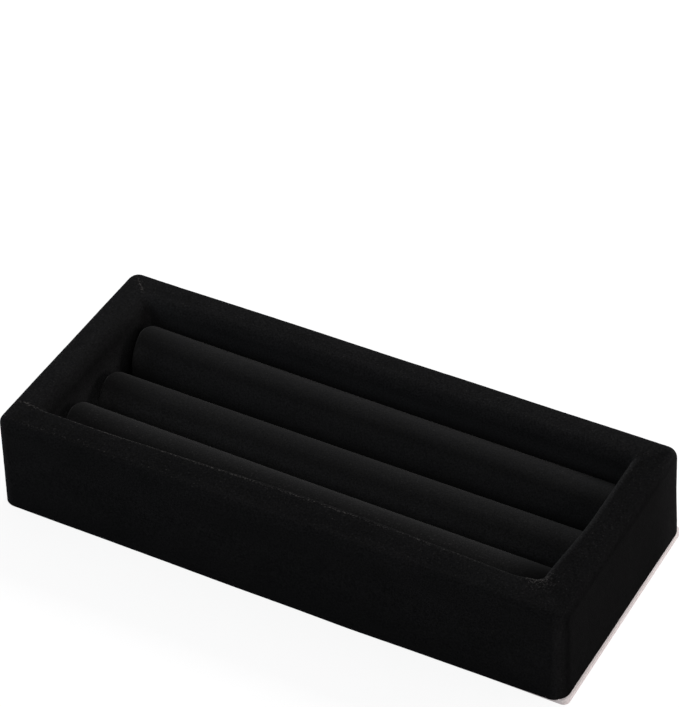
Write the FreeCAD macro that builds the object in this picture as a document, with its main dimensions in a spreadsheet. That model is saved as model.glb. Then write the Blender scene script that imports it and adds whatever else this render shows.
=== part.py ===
import FreeCAD, Part
import enum
import math
import os

import Sketcher

# Ring tray: a velvet-wrapped wooden frame on a pale base board, with a lift-out insert of three padded rolls.
# Millimetres, +Z up, X along the tray. The origin is on the table, under the middle of the velvet frame.

SIZES = {
    # Outside of the velvet frame, over the pile
    "tray_length": 225.0,
    "tray_width": 96.6,
    "tray_height": 40.1,
    "tray_corner_radius": 5.0,
    "rim_radius": 3.0,
    "opening_corner_radius": 2.0,
    # Velvet on the frame, with the hem that hangs over the base board's edge
    "velvet_thickness": 1.6,
    "glue_line": 0.1,
    "hem_gap": 0.3,
    "hem_thickness": 0.3,
    "hem_trim_run": 6.0,
    # Wooden rails and the nails at their corners
    "rail_thickness": 10.2,
    "brad_diameter": 1.2,
    "brad_length": 22.0,
    "brad_point": 1.8,
    "brad_set": 0.5,
    "brad_clearance": 0.05,
    "lower_brad_share": 0.25,
    "upper_brad_share": 0.75,
    # Pale board under the frame, and the lining on it
    "base_thickness": 2.0,
    "base_ledge": 1.4,
    "base_corner_radius": 2.5,
    "lining_thickness": 0.8,
    "lining_gap": 0.3,
    # Lift-out insert: a card with three rolls
    "insert_clearance": 0.4,
    "seat_gap": 0.2,
    "card_thickness": 1.5,
    "ring_slot": 1.6,
    "roll_skin": 1.2,
    "roll_draw_in": 1.0,
    "roll_end_gap": 0.6,
    "roll_end_radius": 3.5,
    "back_roll_height": 29.0,
    "middle_roll_height": 25.1,
    "front_roll_height": 27.8,
    # How far every cut runs past the face it opens
    "cut_overrun": 2.0,
}

# Sizes that follow from the named ones
HALF_LENGTH = "(sizes.tray_length / 2)"
HALF_WIDTH = "(sizes.tray_width / 2)"
SKIN = "(sizes.velvet_thickness + sizes.glue_line)"
HEM_SKIN = "(sizes.hem_thickness + sizes.glue_line)"
RIM_WIDTH = f"(sizes.rail_thickness + 2 * {SKIN})"
OPENING_X = f"({HALF_LENGTH} - {RIM_WIDTH})"
OPENING_Y = f"({HALF_WIDTH} - {RIM_WIDTH})"
RAIL_TOP = f"(sizes.tray_height - {SKIN})"
RAIL_HEIGHT = f"({RAIL_TOP} - sizes.base_thickness)"
RAIL_CORNER = f"(sizes.tray_corner_radius - {SKIN})"
RAIL_X = f"({HALF_LENGTH} - {SKIN} - sizes.rail_thickness / 2)"
RAIL_Y = f"({HALF_WIDTH} - {SKIN} - sizes.rail_thickness / 2)"
CARD_X = f"({OPENING_X} - sizes.insert_clearance)"
CARD_Y = f"({OPENING_Y} - sizes.insert_clearance)"
CARD_SEAT = "(sizes.base_thickness + sizes.lining_thickness + sizes.seat_gap)"
CARD_TOP = f"({CARD_SEAT} + sizes.card_thickness)"
ROLL_HALF_WIDTH = f"(({CARD_Y} - sizes.ring_slot) / 3)"
ROLL_PITCH = f"(2 * {ROLL_HALF_WIDTH} + sizes.ring_slot)"
ROLL_LENGTH = f"(2 * ({CARD_X} - sizes.roll_end_gap))"

# Each roll's place across the tray, as a share of the rolls' pitch, towards the back
ROLL_PITCH_SHARES = {"back": 1, "middle": 0, "front": -1}

# How near an edge lies to a plane to count as in it, as a share of the tray's length
TOLERANCE_SHARE = 1e-5


class Spot(enum.IntEnum):
    """The point of a sketch element that a constraint names."""

    START = 1
    END = 2
    CENTRE = 3


class Axis(enum.IntEnum):
    """A sketch's own axes. The level one starts at the origin."""

    LEVEL = -1
    UPRIGHT = -2


START, END, CENTRE = Spot
ORIGIN = (Axis.LEVEL, START)

doc = FreeCAD.newDocument("ring_tray")


def make_sheet():
    """Writes each named size to its own cell."""
    sheet = doc.addObject("Spreadsheet::Sheet", "sizes")
    for row, (name, size) in enumerate(SIZES.items(), start=1):
        sheet.set(f"A{row}", name)
        sheet.set(f"B{row}", str(size))
        sheet.setAlias(f"B{row}", name)
    doc.recompute()
    return sheet


sizes = make_sheet()


def number(expression):
    """The present value of an expression in the named sizes."""
    return float(sizes.evalExpression(expression))


tolerance = TOLERANCE_SHARE * number("sizes.tray_length")


def bind(item, bindings):
    """Ties properties of a document object to expressions in the named sizes."""
    for path, expression in bindings.items():
        item.setExpression(path, expression)


def new_body(name):
    return doc.addObject("PartDesign::Body", name)


def new_sketch(body, name, role, offset="0"):
    """A sketch on one of the body's own origin planes, moved along the plane's normal."""
    sketch = body.newObject("Sketcher::SketchObject", name)
    plane = next(item for item in body.Origin.OriginFeatures if item.Role == role)
    sketch.AttachmentSupport = [(plane, "")]
    sketch.MapMode = "FlatFace"
    sketch.setExpression("AttachmentOffset.Base.z", offset)
    return sketch


def dimension(sketch, name, expression, kind, *elements):
    """Adds a named dimension that follows an expression."""
    index = sketch.addConstraint(Sketcher.Constraint(kind, *elements, number(expression)))
    sketch.renameConstraint(index, name)
    sketch.setExpression(f"Constraints.{name}", expression)


def point(x, y):
    return FreeCAD.Vector(x, y, 0)


def arc(centre, radius, start_degrees, end_degrees):
    circle = Part.Circle(centre, FreeCAD.Vector(0, 0, 1), radius)
    return Part.ArcOfCircle(circle, math.radians(start_degrees), math.radians(end_degrees))


def place_sides(sketch, tag, sides, first):
    """Dimensions the four sides of a rectangle, as distances from the origin."""
    front, right, back, left = range(first, first + 4)
    dimension(sketch, f"{tag}_front", sides["front"], "DistanceY", front, START, *ORIGIN)
    dimension(sketch, f"{tag}_right", sides["right"], "DistanceX", *ORIGIN, right, START)
    dimension(sketch, f"{tag}_back", sides["back"], "DistanceY", *ORIGIN, back, START)
    dimension(sketch, f"{tag}_left", sides["left"], "DistanceX", left, START, *ORIGIN)


def rectangle(sketch, tag, sides):
    """A plain rectangle about the origin."""
    x0, x1 = -number(sides["left"]), number(sides["right"])
    y0, y1 = -number(sides["front"]), number(sides["back"])
    corners = [point(x0, y0), point(x1, y0), point(x1, y1), point(x0, y1)]
    first = sketch.GeometryCount
    for index, corner in enumerate(corners):
        sketch.addGeometry(Part.LineSegment(corner, corners[(index + 1) % 4]))
    for index in range(4):
        following = first + (index + 1) % 4
        sketch.addConstraint(Sketcher.Constraint("Coincident", first + index, END, following, START))
        level = "Vertical" if index % 2 else "Horizontal"
        sketch.addConstraint(Sketcher.Constraint(level, first + index))
    place_sides(sketch, tag, sides, first)


def rounded_rectangle(sketch, tag, sides, radius):
    """A rectangle about the origin with four equal round corners."""
    x0, x1 = -number(sides["left"]), number(sides["right"])
    y0, y1 = -number(sides["front"]), number(sides["back"])
    r = number(radius)
    first = sketch.GeometryCount
    sketch.addGeometry(Part.LineSegment(point(x0 + r, y0), point(x1 - r, y0)))
    sketch.addGeometry(Part.LineSegment(point(x1, y0 + r), point(x1, y1 - r)))
    sketch.addGeometry(Part.LineSegment(point(x1 - r, y1), point(x0 + r, y1)))
    sketch.addGeometry(Part.LineSegment(point(x0, y1 - r), point(x0, y0 + r)))
    sketch.addGeometry(arc(point(x1 - r, y0 + r), r, -90, 0))
    sketch.addGeometry(arc(point(x1 - r, y1 - r), r, 0, 90))
    sketch.addGeometry(arc(point(x0 + r, y1 - r), r, 90, 180))
    sketch.addGeometry(arc(point(x0 + r, y0 + r), r, 180, 270))
    for index in range(4):
        side, corner, following = first + index, first + 4 + index, first + (index + 1) % 4
        sketch.addConstraint(Sketcher.Constraint("Tangent", side, END, corner, START))
        sketch.addConstraint(Sketcher.Constraint("Tangent", corner, END, following, START))
        level = "Vertical" if index % 2 else "Horizontal"
        sketch.addConstraint(Sketcher.Constraint(level, side))
        if index:
            sketch.addConstraint(Sketcher.Constraint("Equal", first + 4, corner))
    dimension(sketch, f"{tag}_radius", radius, "Radius", first + 4)
    place_sides(sketch, tag, sides, first)


def centred(half_x, half_y):
    """The sides of a rectangle that is centred on the origin."""
    return {"left": half_x, "right": half_x, "front": half_y, "back": half_y}


def pad(body, sketch, length, symmetric=False):
    feature = body.newObject("PartDesign::Pad", f"{body.Name}_pad")
    feature.Profile = sketch
    if symmetric:
        feature.SideType = "Symmetric"
    feature.setExpression("Length", length)
    doc.recompute()
    return feature


def pocket_upwards(body, sketch, depth):
    """Cuts from the sketch up into the body, and checks that the cut met it."""
    before = body.Shape.Volume
    feature = body.newObject("PartDesign::Pocket", f"{sketch.Name}_pocket")
    feature.Profile = sketch
    feature.Reversed = True
    feature.setExpression("Length", depth)
    doc.recompute()
    if not body.Shape.Volume < before:
        raise RuntimeError(f"{feature.Name} cuts nothing")
    return feature


def round_edges(body, base, radius, wanted):
    """Rounds the edges of the base feature that the test picks."""
    names = [f"Edge{index}" for index, edge in enumerate(base.Shape.Edges, start=1) if wanted(edge)]
    feature = body.newObject("PartDesign::Fillet", f"{body.Name}_round")
    feature.Base = (base, names)
    feature.setExpression("Radius", radius)
    doc.recompute()
    return feature


def lies_at(edge, axis, place):
    """True where the whole edge lies in the plane at that place along the axis."""
    low = getattr(edge.BoundBox, f"{axis}Min")
    high = getattr(edge.BoundBox, f"{axis}Max")
    return abs(low - place) < tolerance and abs(high - place) < tolerance


def upright_at(edge, place):
    """True for an upright edge at that place along X."""
    return lies_at(edge, "X", place) and edge.BoundBox.YLength < tolerance


def make_plate(name, sides, radius, bottom, thickness):
    """A flat sheet with four equal round corners."""
    body = new_body(name)
    sketch = new_sketch(body, f"{name}_outline", "XY_Plane", bottom)
    rounded_rectangle(sketch, "outline", sides, radius)
    pad(body, sketch, thickness)
    return body


def make_velvet_wrap():
    """Velvet over the frame: outside faces, rim and inside faces, hollow from below for the rails."""
    body = new_body("velvet_wrap")
    outline = new_sketch(body, "wrap_outline", "XY_Plane", "sizes.hem_gap")
    rounded_rectangle(outline, "outline", centred(HALF_LENGTH, HALF_WIDTH), "sizes.tray_corner_radius")
    pad(body, outline, "sizes.tray_height - sizes.hem_gap")

    opening = new_sketch(body, "wrap_opening", "XY_Plane", "sizes.hem_gap")
    rounded_rectangle(opening, "opening", centred(OPENING_X, OPENING_Y), "sizes.opening_corner_radius")
    cut = pocket_upwards(body, opening, "sizes.tray_height - sizes.hem_gap + sizes.cut_overrun")

    rim = number("sizes.tray_height")
    round_edges(body, cut, "sizes.rim_radius", lambda edge: lies_at(edge, "Z", rim))

    channel = new_sketch(body, "wrap_channel", "XY_Plane", "sizes.hem_gap")
    outer = centred(f"{HALF_LENGTH} - sizes.velvet_thickness", f"{HALF_WIDTH} - sizes.velvet_thickness")
    inner = centred(f"{OPENING_X} + sizes.velvet_thickness", f"{OPENING_Y} + sizes.velvet_thickness")
    inside_corner = "sizes.tray_corner_radius - sizes.velvet_thickness"
    rounded_rectangle(channel, "outer", outer, inside_corner)
    rectangle(channel, "inner", inner)
    pocket_upwards(body, channel, "sizes.tray_height - sizes.velvet_thickness - sizes.hem_gap")

    # The base board comes up to the rails, inside the hem, which is pressed thin there
    recess = new_sketch(body, "wrap_recess", "XY_Plane", "sizes.hem_gap")
    hem = centred(f"{HALF_LENGTH} - sizes.hem_thickness", f"{HALF_WIDTH} - sizes.hem_thickness")
    rounded_rectangle(recess, "recess", hem, "sizes.tray_corner_radius - sizes.hem_thickness")
    pocket_upwards(body, recess, "sizes.base_thickness - sizes.hem_gap")

    # At the right end the hem stops above the base board, which shows there. The cut lies wholly to the
    # right of the middle, so its left side is a distance below zero.
    trim = new_sketch(body, "wrap_trim", "XY_Plane", "sizes.hem_gap")
    trim_sides = {
        "left": f"sizes.hem_trim_run - {HALF_LENGTH}",
        "right": f"{HALF_LENGTH} + sizes.cut_overrun",
        "front": f"{HALF_WIDTH} + sizes.cut_overrun",
        "back": f"{HALF_WIDTH} + sizes.cut_overrun",
    }
    rectangle(trim, "trim", trim_sides)
    pocket_upwards(body, trim, "sizes.base_thickness - sizes.hem_gap")
    return body


def make_base_board():
    """Pale board under the frame: inside the hem on three sides, a ledge past the velvet at the right end."""
    inside = f"{HALF_WIDTH} - {HEM_SKIN}"
    sides = {
        "left": f"{HALF_LENGTH} - {HEM_SKIN}",
        "right": f"{HALF_LENGTH} + sizes.base_ledge",
        "front": inside,
        "back": inside,
    }
    body = new_body("base_board")
    sketch = new_sketch(body, "base_board_outline", "XY_Plane")
    rectangle(sketch, "outline", sides)
    square = pad(body, sketch, "sizes.base_thickness")
    left, right = -number(sides["left"]), number(sides["right"])
    hem_corner = f"sizes.tray_corner_radius - {HEM_SKIN}"
    half_round = round_edges(body, square, hem_corner, lambda edge: upright_at(edge, left))
    round_edges(body, half_round, "sizes.base_corner_radius", lambda edge: upright_at(edge, right))
    return body


def make_floor_lining():
    sides = centred(f"{OPENING_X} - sizes.lining_gap", f"{OPENING_Y} - sizes.lining_gap")
    corner = "sizes.opening_corner_radius"
    return make_plate("floor_lining", sides, corner, "sizes.base_thickness", "sizes.lining_thickness")


def make_insert_card():
    sides = centred(CARD_X, CARD_Y)
    return make_plate("insert_card", sides, "sizes.opening_corner_radius", CARD_SEAT, "sizes.card_thickness")


def brad_spots():
    """Each nail's end of the tray, long side and height share."""
    for end in (1, -1):
        for side in (1, -1):
            for share in ("sizes.lower_brad_share", "sizes.upper_brad_share"):
                yield end, side, share


def aim_across(item, end, side, share, start):
    """Points a round piece from a long rail into an end rail. It starts that far from the middle line."""
    item.Placement = FreeCAD.Placement(FreeCAD.Vector(), FreeCAD.Rotation(FreeCAD.Vector(1, 0, 0), 90 * side))
    bind(item, {
        "Placement.Base.x": f"{end} * {RAIL_X}",
        "Placement.Base.y": f"{side} * ({start})",
        "Placement.Base.z": f"sizes.base_thickness + {share} * {RAIL_HEIGHT}",
    })


def make_corner_brads():
    """Two pointed nails through each end of each long rail, sunk a little below its face."""
    head = f"{HALF_WIDTH} - {SKIN} - sizes.brad_set"
    shank_length = "sizes.brad_length - sizes.brad_point"
    nails = []
    for index, (end, side, share) in enumerate(brad_spots(), start=1):
        shank = doc.addObject("Part::Cylinder", f"brad_shank_{index}")
        bind(shank, {"Radius": "sizes.brad_diameter / 2", "Height": shank_length})
        aim_across(shank, end, side, share, head)
        tip = doc.addObject("Part::Cone", f"brad_point_{index}")
        tip.Radius2 = 0
        bind(tip, {"Radius1": "sizes.brad_diameter / 2", "Height": "sizes.brad_point"})
        aim_across(tip, end, side, share, f"{head} - ({shank_length})")
        nail = doc.addObject("Part::Fuse", f"brad_{index}")
        nail.Base = shank
        nail.Tool = tip
        nails.append(nail)
    group = doc.addObject("Part::Compound", "corner_brads")
    group.Links = nails
    return group


def make_brad_holes():
    """The holes that the nails leave in the rails, open at the long rails' outer faces."""
    mouth = f"{HALF_WIDTH} - {SKIN} + sizes.cut_overrun"
    depth = "sizes.cut_overrun + sizes.brad_set + sizes.brad_length + sizes.brad_clearance"
    holes = []
    for index, (end, side, share) in enumerate(brad_spots(), start=1):
        hole = doc.addObject("Part::Cylinder", f"brad_hole_{index}")
        bind(hole, {"Radius": "sizes.brad_diameter / 2 + sizes.brad_clearance", "Height": depth})
        aim_across(hole, end, side, share, mouth)
        holes.append(hole)
    group = doc.addObject("Part::Compound", "brad_holes")
    group.Links = holes
    return group


def drilled(name, blank, holes):
    """A rail: its blank with the nail holes cut out of it."""
    doc.recompute()
    rail = doc.addObject("Part::Cut", name)
    rail.Base = blank
    rail.Tool = holes
    return rail


def rail_blank(name, half_x, half_y, place, turn):
    """A square strip on the base board. The turn puts its outer face outwards."""
    body = new_body(f"{name}_blank")
    sketch = new_sketch(body, f"{name}_outline", "XY_Plane", "sizes.base_thickness")
    rectangle(sketch, "outline", centred(half_x, half_y))
    strip = pad(body, sketch, RAIL_HEIGHT)
    body.Placement = FreeCAD.Placement(FreeCAD.Vector(), FreeCAD.Rotation(FreeCAD.Vector(0, 0, 1), turn))
    bind(body, place)
    return body, strip


def make_long_rail(name, side, holes):
    """A rail along the tray. Its two outer upright edges are round, under the velvet's corners."""
    half_x = f"{HALF_LENGTH} - {SKIN}"
    half_y = "sizes.rail_thickness / 2"
    turn = 180 if side > 0 else 0
    body, strip = rail_blank(name, half_x, half_y, {"Placement.Base.y": f"{side} * {RAIL_Y}"}, turn)
    outer_face = -number(half_y)

    def outer_upright(edge):
        upright = edge.BoundBox.XLength < tolerance
        return upright and lies_at(edge, "Y", outer_face)

    round_edges(body, strip, RAIL_CORNER, outer_upright)
    return drilled(name, body, holes)


def make_end_rail(name, end, holes):
    """A rail across the tray, between the long rails."""
    half_x = "sizes.rail_thickness / 2"
    half_y = f"{OPENING_Y} + {SKIN}"
    body, _ = rail_blank(name, half_x, half_y, {"Placement.Base.x": f"{end} * {RAIL_X}"}, 0)
    return drilled(name, body, holes)


def arched_section(sketch, half_width, base_half_width, spring_height):
    """A roll's outline: flat base, sides that draw in towards it, and a half-round top of two arcs."""
    w, b, s = number(half_width), number(base_half_width), number(spring_height)
    side_radius = (s ** 2 + (w - b) ** 2) / (2 * (w - b))
    side_angle = math.degrees(math.asin(s / side_radius))
    top = point(0, s)
    base, right, right_top, left_top, left = range(5)
    sketch.addGeometry(Part.LineSegment(point(-b, 0), point(b, 0)))
    sketch.addGeometry(arc(point(w - side_radius, s), side_radius, -side_angle, 0))
    sketch.addGeometry(arc(top, w, 0, 90))
    sketch.addGeometry(arc(top, w, 90, 180))
    sketch.addGeometry(arc(point(side_radius - w, s), side_radius, 180, 180 + side_angle))
    constraints = [
        ("Coincident", base, END, right, START),
        ("Coincident", left, END, base, START),
        ("Tangent", right, END, right_top, START),
        ("Coincident", right_top, END, left_top, START),
        ("Tangent", left_top, END, left, START),
        ("PointOnObject", base, START, Axis.LEVEL),
        ("Symmetric", base, START, base, END, Axis.UPRIGHT),
        ("Coincident", right_top, CENTRE, left_top, CENTRE),
        ("PointOnObject", right_top, CENTRE, Axis.UPRIGHT),
        ("PointOnObject", right_top, END, Axis.UPRIGHT),
        ("Horizontal", right_top, START, right_top, CENTRE),
        ("Horizontal", left_top, END, left_top, CENTRE),
    ]
    for constraint in constraints:
        sketch.addConstraint(Sketcher.Constraint(*constraint))
    dimension(sketch, "half_base", base_half_width, "DistanceX", *ORIGIN, base, END)
    dimension(sketch, "spring_height", spring_height, "DistanceY", *ORIGIN, right_top, CENTRE)
    dimension(sketch, "top_radius", half_width, "Radius", right_top)


def roll_form(name, place, inset):
    """An arched bar with round ends on the insert card, smaller all round by the inset but flush below."""
    body = new_body(name)
    sketch = new_sketch(body, f"{name}_section", "YZ_Plane")
    half_width = f"{ROLL_HALF_WIDTH} - ({inset})"
    height = f"sizes.{place}_roll_height"
    arched_section(sketch, half_width, f"{half_width} - sizes.roll_draw_in", f"{height} - {ROLL_HALF_WIDTH}")
    length = f"{ROLL_LENGTH} - 2 * ({inset})"
    bar = pad(body, sketch, length, symmetric=True)
    ends = number(length) / 2

    def round_end(edge):
        on_end = lies_at(edge, "X", ends) or lies_at(edge, "X", -ends)
        return on_end and not lies_at(edge, "Z", 0)

    round_edges(body, bar, f"sizes.roll_end_radius - ({inset})", round_end)
    share = ROLL_PITCH_SHARES[place]
    bind(body, {"Placement.Base.y": f"{share} * {ROLL_PITCH}", "Placement.Base.z": CARD_TOP})
    return body


def make_roll(place):
    """A foam bar and the velvet sleeve over it, open below where both are glued to the card."""
    outside = roll_form(f"roll_form_{place}", place, "0")
    hollow = roll_form(f"roll_hollow_{place}", place, "sizes.roll_skin")
    core = roll_form(f"foam_core_{place}", place, "sizes.roll_skin + sizes.glue_line")
    cover = doc.addObject("Part::Cut", f"roll_cover_{place}")
    cover.Base = outside
    cover.Tool = hollow
    return [core, cover]


def check_document():
    """Stops on any object that failed to build."""
    doc.recompute()
    for item in doc.Objects:
        if "Invalid" in item.State or "Error" in item.State:
            raise RuntimeError(f"{item.Name} is in state {item.State}")


def write_nodes(nodes):
    """Writes each sub-part to its own file, once all of them are sound."""
    check_document()
    for node in nodes:
        if node.Shape.isNull() or not node.Shape.isValid():
            raise RuntimeError(f"{node.Label} has no valid shape")
    os.makedirs("parts", exist_ok=True)
    for node in nodes:
        node.Shape.exportStep(os.path.join("parts", f"{node.Label}.step"))
        print(f"{node.Label}: {len(node.Shape.Solids)} solid, {node.Shape.Volume:.1f} mm3")


def main():
    brad_holes = make_brad_holes()
    nodes = [
        make_base_board(),
        make_floor_lining(),
        make_long_rail("front_rail", -1, brad_holes),
        make_long_rail("back_rail", 1, brad_holes),
        make_end_rail("left_rail", -1, brad_holes),
        make_end_rail("right_rail", 1, brad_holes),
        make_corner_brads(),
        make_velvet_wrap(),
        make_insert_card(),
    ]
    for place in ROLL_PITCH_SHARES:
        nodes += make_roll(place)
    write_nodes(nodes)


main()
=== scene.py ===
import math

import bpy
import numpy as np
from mathutils import Matrix, Vector, noise


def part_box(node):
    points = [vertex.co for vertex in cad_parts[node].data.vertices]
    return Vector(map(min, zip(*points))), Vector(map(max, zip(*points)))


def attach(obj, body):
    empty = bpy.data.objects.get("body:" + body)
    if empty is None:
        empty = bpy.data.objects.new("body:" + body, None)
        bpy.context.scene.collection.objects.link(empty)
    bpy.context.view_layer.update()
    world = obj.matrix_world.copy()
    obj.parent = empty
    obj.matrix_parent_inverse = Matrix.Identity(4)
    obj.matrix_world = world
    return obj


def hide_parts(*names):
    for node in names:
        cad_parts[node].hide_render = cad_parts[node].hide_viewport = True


# Ring tray: a velvet-wrapped frame with a lift-out insert of three padded rolls. Metres, +Z up.

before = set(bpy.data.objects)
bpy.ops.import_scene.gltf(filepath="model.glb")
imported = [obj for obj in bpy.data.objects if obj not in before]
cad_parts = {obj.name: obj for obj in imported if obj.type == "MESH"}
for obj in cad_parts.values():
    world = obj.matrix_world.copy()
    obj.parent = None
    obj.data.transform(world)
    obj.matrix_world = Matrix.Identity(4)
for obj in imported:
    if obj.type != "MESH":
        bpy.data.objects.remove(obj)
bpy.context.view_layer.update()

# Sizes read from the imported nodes
WRAP_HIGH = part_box("velvet_wrap")[1]
BOARD_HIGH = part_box("base_board")[1]
LINING_LOW, LINING_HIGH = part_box("floor_lining")
CARD_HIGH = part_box("insert_card")[1]
BACK_RAIL_LOW, BACK_RAIL_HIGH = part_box("back_rail")
RIGHT_RAIL_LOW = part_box("right_rail")[0]
SKIN = WRAP_HIGH.y - BACK_RAIL_HIGH.y
OPENING_X = RIGHT_RAIL_LOW.x - SKIN
OPENING_Y = BACK_RAIL_LOW.y - SKIN
RIM_WIDTH = WRAP_HIGH.x - OPENING_X
RIM_TOP = WRAP_HIGH.z
LONG_RAILS = ("front_rail", "back_rail")
CROSS_RAILS = ("left_rail", "right_rail")
ROLLS = ("back", "middle", "front")

# Camera, solved from the edges of the tray in the picture
CAMERA_PLACE = Vector((0.41173, -0.71114, 0.76951))
CAMERA_TARGET = Vector((-0.03084, 0.05944, 0.020))
CAMERA_ROLL = math.radians(-2.1626)
CAMERA_LENS = 158.5987
CAMERA_NEAR = 0.01
SENSOR_WIDTH = 36.0

# Velvet on the frame. The outside leans in towards the top.
WRAP_THICKNESS = 0.0016
CORNER_RADIUS = 0.005
OUTER_ROUND = 0.0032
INNER_ROUND = 0.0030
SOFT_INNER_ROUND = 0.0048
OPENING_RADIUS = 0.002
RIM_FLAT = RIM_WIDTH - OUTER_ROUND - INNER_ROUND
LEAN_IN = 0.0010
RIM_CROWN = 0.0002
WAVE_HEIGHT = 0.00012
WAVE_SCALE = 34.0
NAP_HEIGHT = 0.00004
NAP_SCALE = 650.0
CORNER_STEPS = 16
CORNER_CROWDING = 1.8
LONG_RUN_STEPS = 170
SHORT_RUN_STEPS = 68
WALL_STEPS = 28
ROUND_STEPS = 12
TOP_STEPS = 8
SHARP_ANGLE = math.radians(60.0)

# The velvet's lower edge: low round the board, climbing along the front to the board's ledge
# at the right end, where it stands out a little, most at the back
HEM_THICKNESS = 0.0003
HEM_STEP = 0.00005
HEM_LOW = 0.00015
HEM_LIFT = 0.00005
HEM_CLIMB_FROM = 0.030
HEM_CLIMB = 0.0014
HEM_FLARE_FRONT = 0.0001
HEM_FLARE_BACK = 0.0005
HEM_FLARE_HEIGHT = 0.022

# The mitre seams on the rim
SEAM_DEPTH = 0.00004
SEAM_WIDTH = 0.00030
SEAM_FADE = 0.010

# The front rim's inner edge, which swells up and into the well
BOW_MIDDLE = 0.012
BOW_HALF_LENGTH = 0.098
BOW_RISE = 0.0015
BOW_LEAN = 0.0012
BOW_DEPTH = 0.010

# The velvet at the well's front right corner, which bridges it and leans over the well
FILL_LEFT = 0.0024
FILL_LEFT_REACH = 0.040
FILL_BACK = 0.0018
FILL_BACK_REACH = 0.010

# Painted light and shade on the frame's velvet: a factor on the pile's tone for each side and row.
# It paints the foot of the well's inner walls much lighter against their deep shade, and the right
# outside darker where the light falls strongly. Rows count 0 on the outside, 1 on the top of the rim,
# 2 just below its inner edge and 3 at the foot of the inside.
PAINT_ROWS = (0.0, 0.5, 1.0, 1.5, 2.0, 2.4, 3.0)
PAINTED_SIDE_TONES = {
    "front": (0.92, 1.00, 0.80, 0.90, 1.00, 1.40, 2.00),
    "right": (0.42, 0.72, 0.70, 2.00, 1.00, 1.40, 2.00),
    "back": (1.00, 1.05, 1.08, 1.40, 1.60, 2.80, 6.00),
    "left": (1.00, 1.05, 1.06, 0.90, 0.90, 2.10, 9.00),
}

# Painted light on top of that tone: lighter on the outer corners and in the well's shaded back left
# corner, and a painted highlight on the right outside towards its back
PAINTED_CORNER_LIGHT = 0.6
PAINTED_WELL_CORNER_LIGHT = 0.6
PAINTED_WELL_CORNER_REACH = 0.022
PAINTED_RIGHT_BACK_HIGHLIGHT = 1.7
PAINTED_RIGHT_BACK_REACH = 0.024

# Pale pile tips, everywhere on the rim and most along rubbed edges. Along the inner front and right edges
# and down the front right upright they also paint a sheen highlight line.
RIM_FRAY = 0.38
EDGE_LINE_IN = 0.0013
EDGE_LINE_WIDTH = 0.0006
EDGE_BAND = 0.0050
EDGE_DEPTH = 0.0022
UPRIGHT_WIDTH = 0.0007
CLUSTER_SIZE = 0.0045
STREAK_FROM = 0.006
STREAK_TO = 0.016
SHEEN_FRAY_INNER_FRONT = 0.55
SHEEN_FRAY_INNER_FRONT_FALL = 0.2
SHEEN_FRAY_INNER_RIGHT = 0.35
FRAY_OUTER_LEFT = 0.55
FRAY_OUTER_FRONT = 0.35
FRAY_CLUSTER = 0.6
FRAY_STREAK = 0.7
SHEEN_UPRIGHT = 0.5

# Rolls. Each crest falls from the left to the right by twice its lean.
ROLL_DRAW_IN = 0.001
ROLL_LEFT_GAPS = {"back": 0.0031, "middle": 0.0022, "front": 0.0019}
ROLL_END_LENGTH = 0.0022
ROLL_END_POWER = 2.8
ROLL_END_DROP = 0.0009
ROLL_TIP_SHARE = 0.15
ROLL_SKIN = 0.0011
ROLL_START_INSET = 0.0005
ROLL_START_RISES = {"back": 0.0005, "middle": 0.0003, "front": 0.0004}
ROLL_LEANS = {"back": 0.00138, "middle": 0.00060, "front": 0.00115}
ROLL_SIDE_STEPS = 10
ROLL_CROWN_STEPS = 18
ROLL_END_STEPS = 12
ROLL_LENGTH_STEPS = 92
ROLL_NAP_HEIGHT = 0.00004
CARD_TOUCH = 0.000001

# Pile of the rolls: pale tips on the crests. Painted shade darkens the bodies and the crests' left ends,
# painted light lightens the fronts down in the shaded slots and at the left ends, and painted shade
# darkens the front roll's right end
ROLL_FRAYS = {"back": 0.35, "middle": 0.35, "front": 0.45}
ROLL_CREST_DEPTH = 0.0015
ROLL_BODY_PAINTED_SHADES = {"back": 0.60, "middle": 0.78, "front": 0.85}
ROLL_BODY_DEPTH = 0.0020
ROLL_CREST_END_PAINTED_SHADE = 0.50
ROLL_PAINTED_SHADE_LENGTH = 0.032
ROLL_RIGHT_PAINTED_SHADES = {"back": 1.0, "middle": 1.0, "front": 0.05}
ROLL_RIGHT_LENGTH = 0.022
ROLL_END_PAINTED_LIGHT = 3.5
ROLL_PAINTED_LIGHT_LENGTH = 0.016
ROLL_SLOT_PAINTED_LIGHT = {"back": 1.65, "middle": 2.0, "front": 0.3}
ROLL_FOOT_FROM = 0.0004
ROLL_FOOT_TO = 0.0040
ROLL_FRONT_BLEND = 0.010

# Foam bars inside the rolls, with a cut surface
FOAM_GAP = 0.0001
FOAM_CUT_DEPTH = 0.0002
FOAM_CUT_SCALE = 420.0

# Swelling of the rolls as pressed cloth, simulated at an enlarged scale
SWELL_SCALE = 10.0
SWELL_PRESSURE = 0.05
SWELL_STIFFNESS = 40.0
SWELL_FRAMES = 20
SWELL_LIMIT = 0.001

# Felt on the tray's floor
LINING_CORNER = 0.002
LINING_WAVE = 0.00008
LINING_WAVE_SCALE = 60.0
LINING_STEP = 0.004

# Stage. Each light has its name, place, size, power and colour.
FLOOR_HALF = 4.0
FLOOR_DROP = 0.00005
FLOOR_COLOUR = (0.80, 0.80, 0.80, 1.0)
FLOOR_GLOW = 1.10
FLOOR_GLOW_SHARE = 0.80
WORLD_LIGHT = 0.37
LIGHTS = (
    ("light_back", (0.15, 1.50, 1.30), 0.8, 36.0, (1.0, 1.0, 1.0)),
    ("light_left", (-0.72, -0.62, 0.42), 0.5, 2.8, (0.82, 0.90, 1.0)),
    ("light_right", (1.75, 0.05, 0.70), 1.0, 10.0, (1.0, 0.92, 0.93)),
)

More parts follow.
